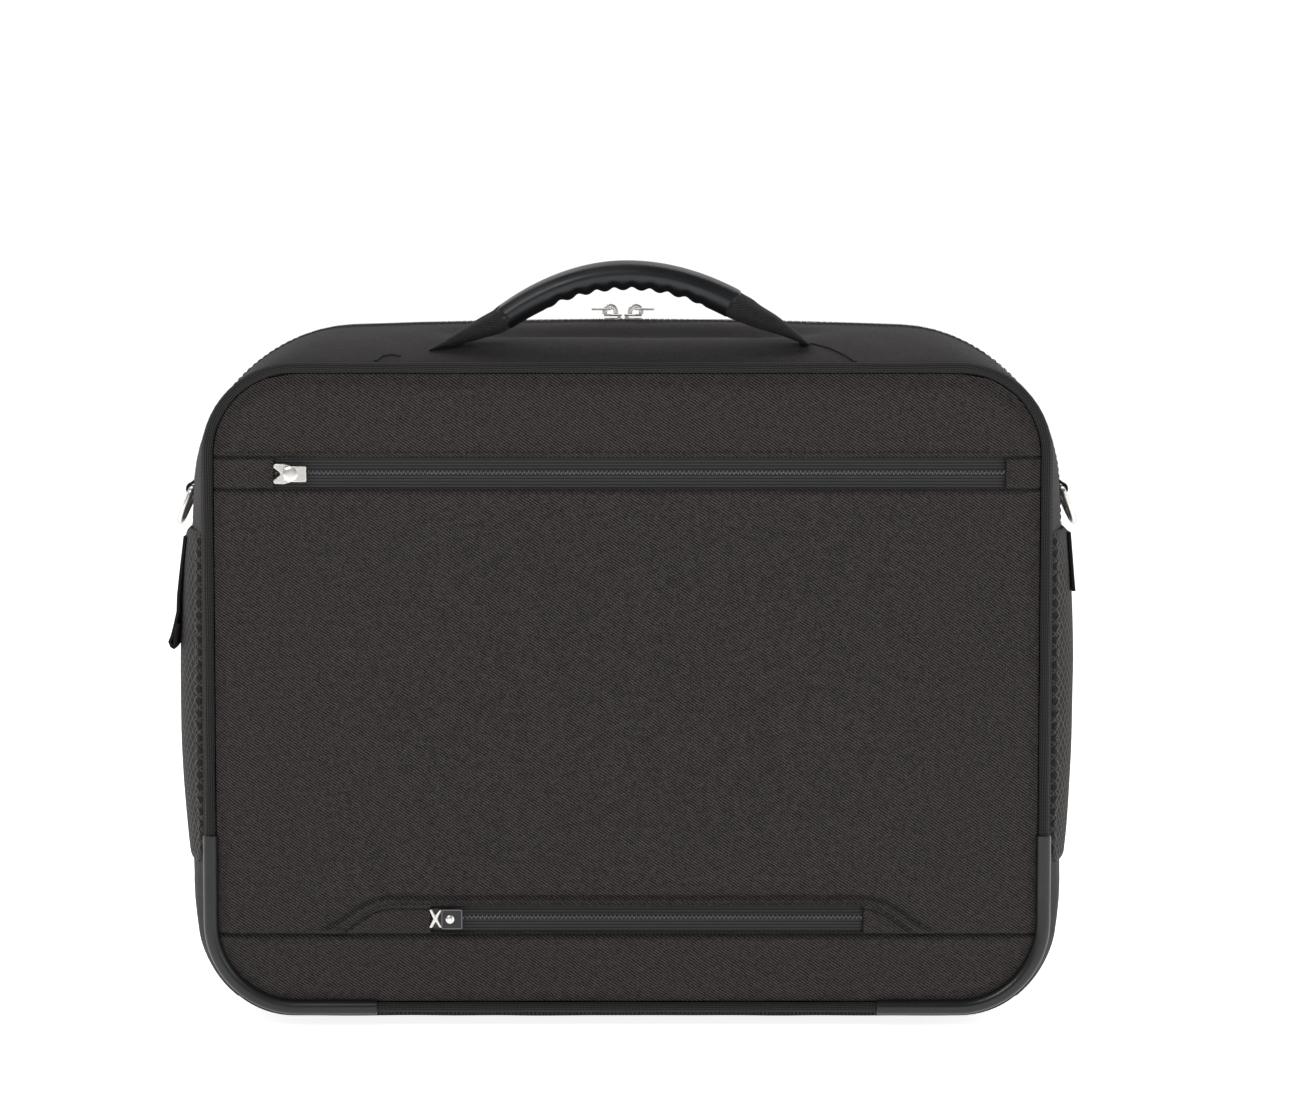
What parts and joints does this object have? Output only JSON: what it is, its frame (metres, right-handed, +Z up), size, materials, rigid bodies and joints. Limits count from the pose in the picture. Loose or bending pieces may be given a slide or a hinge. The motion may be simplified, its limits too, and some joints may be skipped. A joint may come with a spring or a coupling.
{
  "type": "rolling pilot case",
  "caption": "Soft-sided office-size pilot case with zipped front pockets, opening front, carry handle, telescopic pull handle and rear wheels.",
  "frame": {"origin": "on the floor, under the middle of the case's bounding box", "axes": "+X to the right as seen from the front, the front panel faces -Y, +Z up"},
  "size_m": [0.452, 0.1976, 0.3734],
  "materials": {
    "twill": "ballistic twill weave, dull, black with a brown cast",
    "embossed_fabric": "fabric embossed with small diamonds",
    "piping": "ribbed woven cover over a cord",
    "zip_tape": "fine woven tape",
    "webbing": "ribbed narrow webbing",
    "lining": "plain woven lining",
    "guard_rubber": "smooth, half-gloss",
    "grip_rubber": "fine-grained, satin",
    "tyre_rubber": "matt",
    "zip_coil": "satin coil",
    "black_plastic": "fine-textured moulding",
    "board": "dull stiff board",
    "nickel": "satin nickel plate",
    "aluminium": "satin anodised",
    "steel": "turned"
  },
  "bodies": {
    "case": {"rear_gusset": "twill", "bottom_panel": "twill", "back_panel": "twill", "base_board": "board", "main_zip_tape": "zip_tape", "main_zip_coil": "zip_coil", "rear_piping": "piping", "rear_side_panel_left": "embossed_fabric", "rear_side_panel_right": "embossed_fabric", "d_ring_loop_left": "webbing", "d_ring_loop_right": "webbing", "laptop_divider": "lining", "rear_lining": "lining", "trolley_bezel": "black_plastic", "trolley_bottom_bracket": "black_plastic", "trolley_outer_tube_left": "aluminium", "trolley_outer_tube_right": "aluminium", "wheel_axle_left": "steel", "wheel_axle_right": "steel", "wheel_housing_left": "black_plastic", "wheel_housing_right": "black_plastic", "foot_left": "black_plastic", "foot_right": "black_plastic"},
    "front_section": {"front_gusset": "twill", "front_panel": "twill", "front_piping": "piping", "corner_guard_left": "guard_rubber", "corner_guard_right": "guard_rubber", "upper_pocket_welt": "twill", "upper_zip": "zip_tape", "lower_pocket_flap": "twill", "lower_zip": "zip_tape", "front_side_panel_left": "embossed_fabric", "front_side_panel_right": "embossed_fabric", "side_tab_left": "webbing", "handle_anchor_left": "twill", "handle_anchor_right": "twill"},
    "carry_handle": {"handle_grip": "grip_rubber", "handle_sleeve_left": "twill", "handle_sleeve_right": "twill"},
    "upper_slider": {"upper_zip_slider": "nickel"},
    "upper_puller": {"upper_zip_puller": "nickel"},
    "lower_slider": {"lower_zip_slider": "nickel"},
    "lower_puller": {"lower_zip_puller": "nickel"},
    "main_slider_left": {"main_zip_slider_left": "nickel"},
    "main_puller_left": {"main_zip_puller_left": "nickel"},
    "main_slider_right": {"main_zip_slider_right": "nickel"},
    "main_puller_right": {"main_zip_puller_right": "nickel"},
    "ring_left": {"d_ring_left": "nickel"},
    "ring_right": {"d_ring_right": "nickel"},
    "trolley_mid": {"trolley_mid_tube_left": "aluminium", "trolley_mid_tube_right": "aluminium"},
    "trolley_top": {"trolley_top_tube_left": "aluminium", "trolley_top_tube_right": "aluminium", "trolley_grip": "black_plastic"},
    "release_button": {"trolley_button": "guard_rubber"},
    "wheel_left": {"wheel_hub_left": "black_plastic", "wheel_tyre_left": "tyre_rubber"},
    "wheel_right": {"wheel_hub_right": "black_plastic", "wheel_tyre_right": "tyre_rubber"}
  },
  "joints": [
    {"name": "front_open", "type": "hinge", "parent": "case", "child": "front_section", "pos_m": [0, -0.0924, 0.0098], "axis": [1, 0, 0], "range_deg": [0, 85]},
    {"name": "handle_tilt", "type": "hinge", "parent": "front_section", "child": "carry_handle", "pos_m": [0, -0.07, 0.3355], "axis": [1, 0, 0], "range_deg": [-45, 55]},
    {"name": "upper_zip_slide", "type": "slide", "parent": "front_section", "child": "upper_slider", "axis": [1, 0, 0], "range_m": [0, 0.335]},
    {"name": "upper_puller_flip", "type": "hinge", "parent": "upper_slider", "child": "upper_puller", "pos_m": [-0.166, -0.0975, 0.27], "axis": [0, 0, -1], "range_deg": [0, 170]},
    {"name": "lower_zip_slide", "type": "slide", "parent": "front_section", "child": "lower_slider", "axis": [1, 0, 0], "range_m": [0, 0.193]},
    {"name": "lower_puller_flip", "type": "hinge", "parent": "lower_slider", "child": "lower_puller", "pos_m": [-0.0915, -0.0975, 0.0544], "axis": [0, 0, -1], "range_deg": [0, 170]},
    {"name": "main_zip_left_slide", "type": "slide", "parent": "case", "child": "main_slider_left", "axis": [-1, 0, 0], "range_m": [0, 0.1]},
    {"name": "main_puller_left_flip", "type": "hinge", "parent": "main_slider_left", "child": "main_puller_left", "pos_m": [-0.0082, -0.01, 0.3489], "axis": [0, 1, 0], "range_deg": [0, 110]},
    {"name": "main_zip_right_slide", "type": "slide", "parent": "case", "child": "main_slider_right", "axis": [1, 0, 0], "range_m": [0, 0.1]},
    {"name": "main_puller_right_flip", "type": "hinge", "parent": "main_slider_right", "child": "main_puller_right", "pos_m": [0.0042, -0.01, 0.3489], "axis": [0, -1, 0], "range_deg": [0, 110]},
    {"name": "ring_left_swing", "type": "hinge", "parent": "case", "child": "ring_left", "pos_m": [-0.2198, 0.018, 0.258], "axis": [0, 1, 0], "range_deg": [0, 130]},
    {"name": "ring_right_swing", "type": "hinge", "parent": "case", "child": "ring_right", "pos_m": [0.2198, 0.018, 0.258], "axis": [0, -1, 0], "range_deg": [0, 130]},
    {"name": "trolley_lower_stage", "type": "slide", "parent": "case", "child": "trolley_mid", "axis": [0, 0, 1], "range_m": [0, 0.25]},
    {"name": "trolley_upper_stage", "type": "slide", "parent": "trolley_mid", "child": "trolley_top", "axis": [0, 0, 1], "range_m": [0, 0.25]},
    {"name": "button_press", "type": "slide", "parent": "trolley_top", "child": "release_button", "axis": [0, 0, -1], "range_m": [0, 0.002], "stiffness_N_per_m": 400},
    {"name": "wheel_left_spin", "type": "hinge", "parent": "case", "child": "wheel_left", "pos_m": [-0.158, 0.071, 0.027], "axis": [1, 0, 0], "continuous": true},
    {"name": "wheel_right_spin", "type": "hinge", "parent": "case", "child": "wheel_right", "pos_m": [0.158, 0.071, 0.027], "axis": [1, 0, 0], "continuous": true}
  ]
}
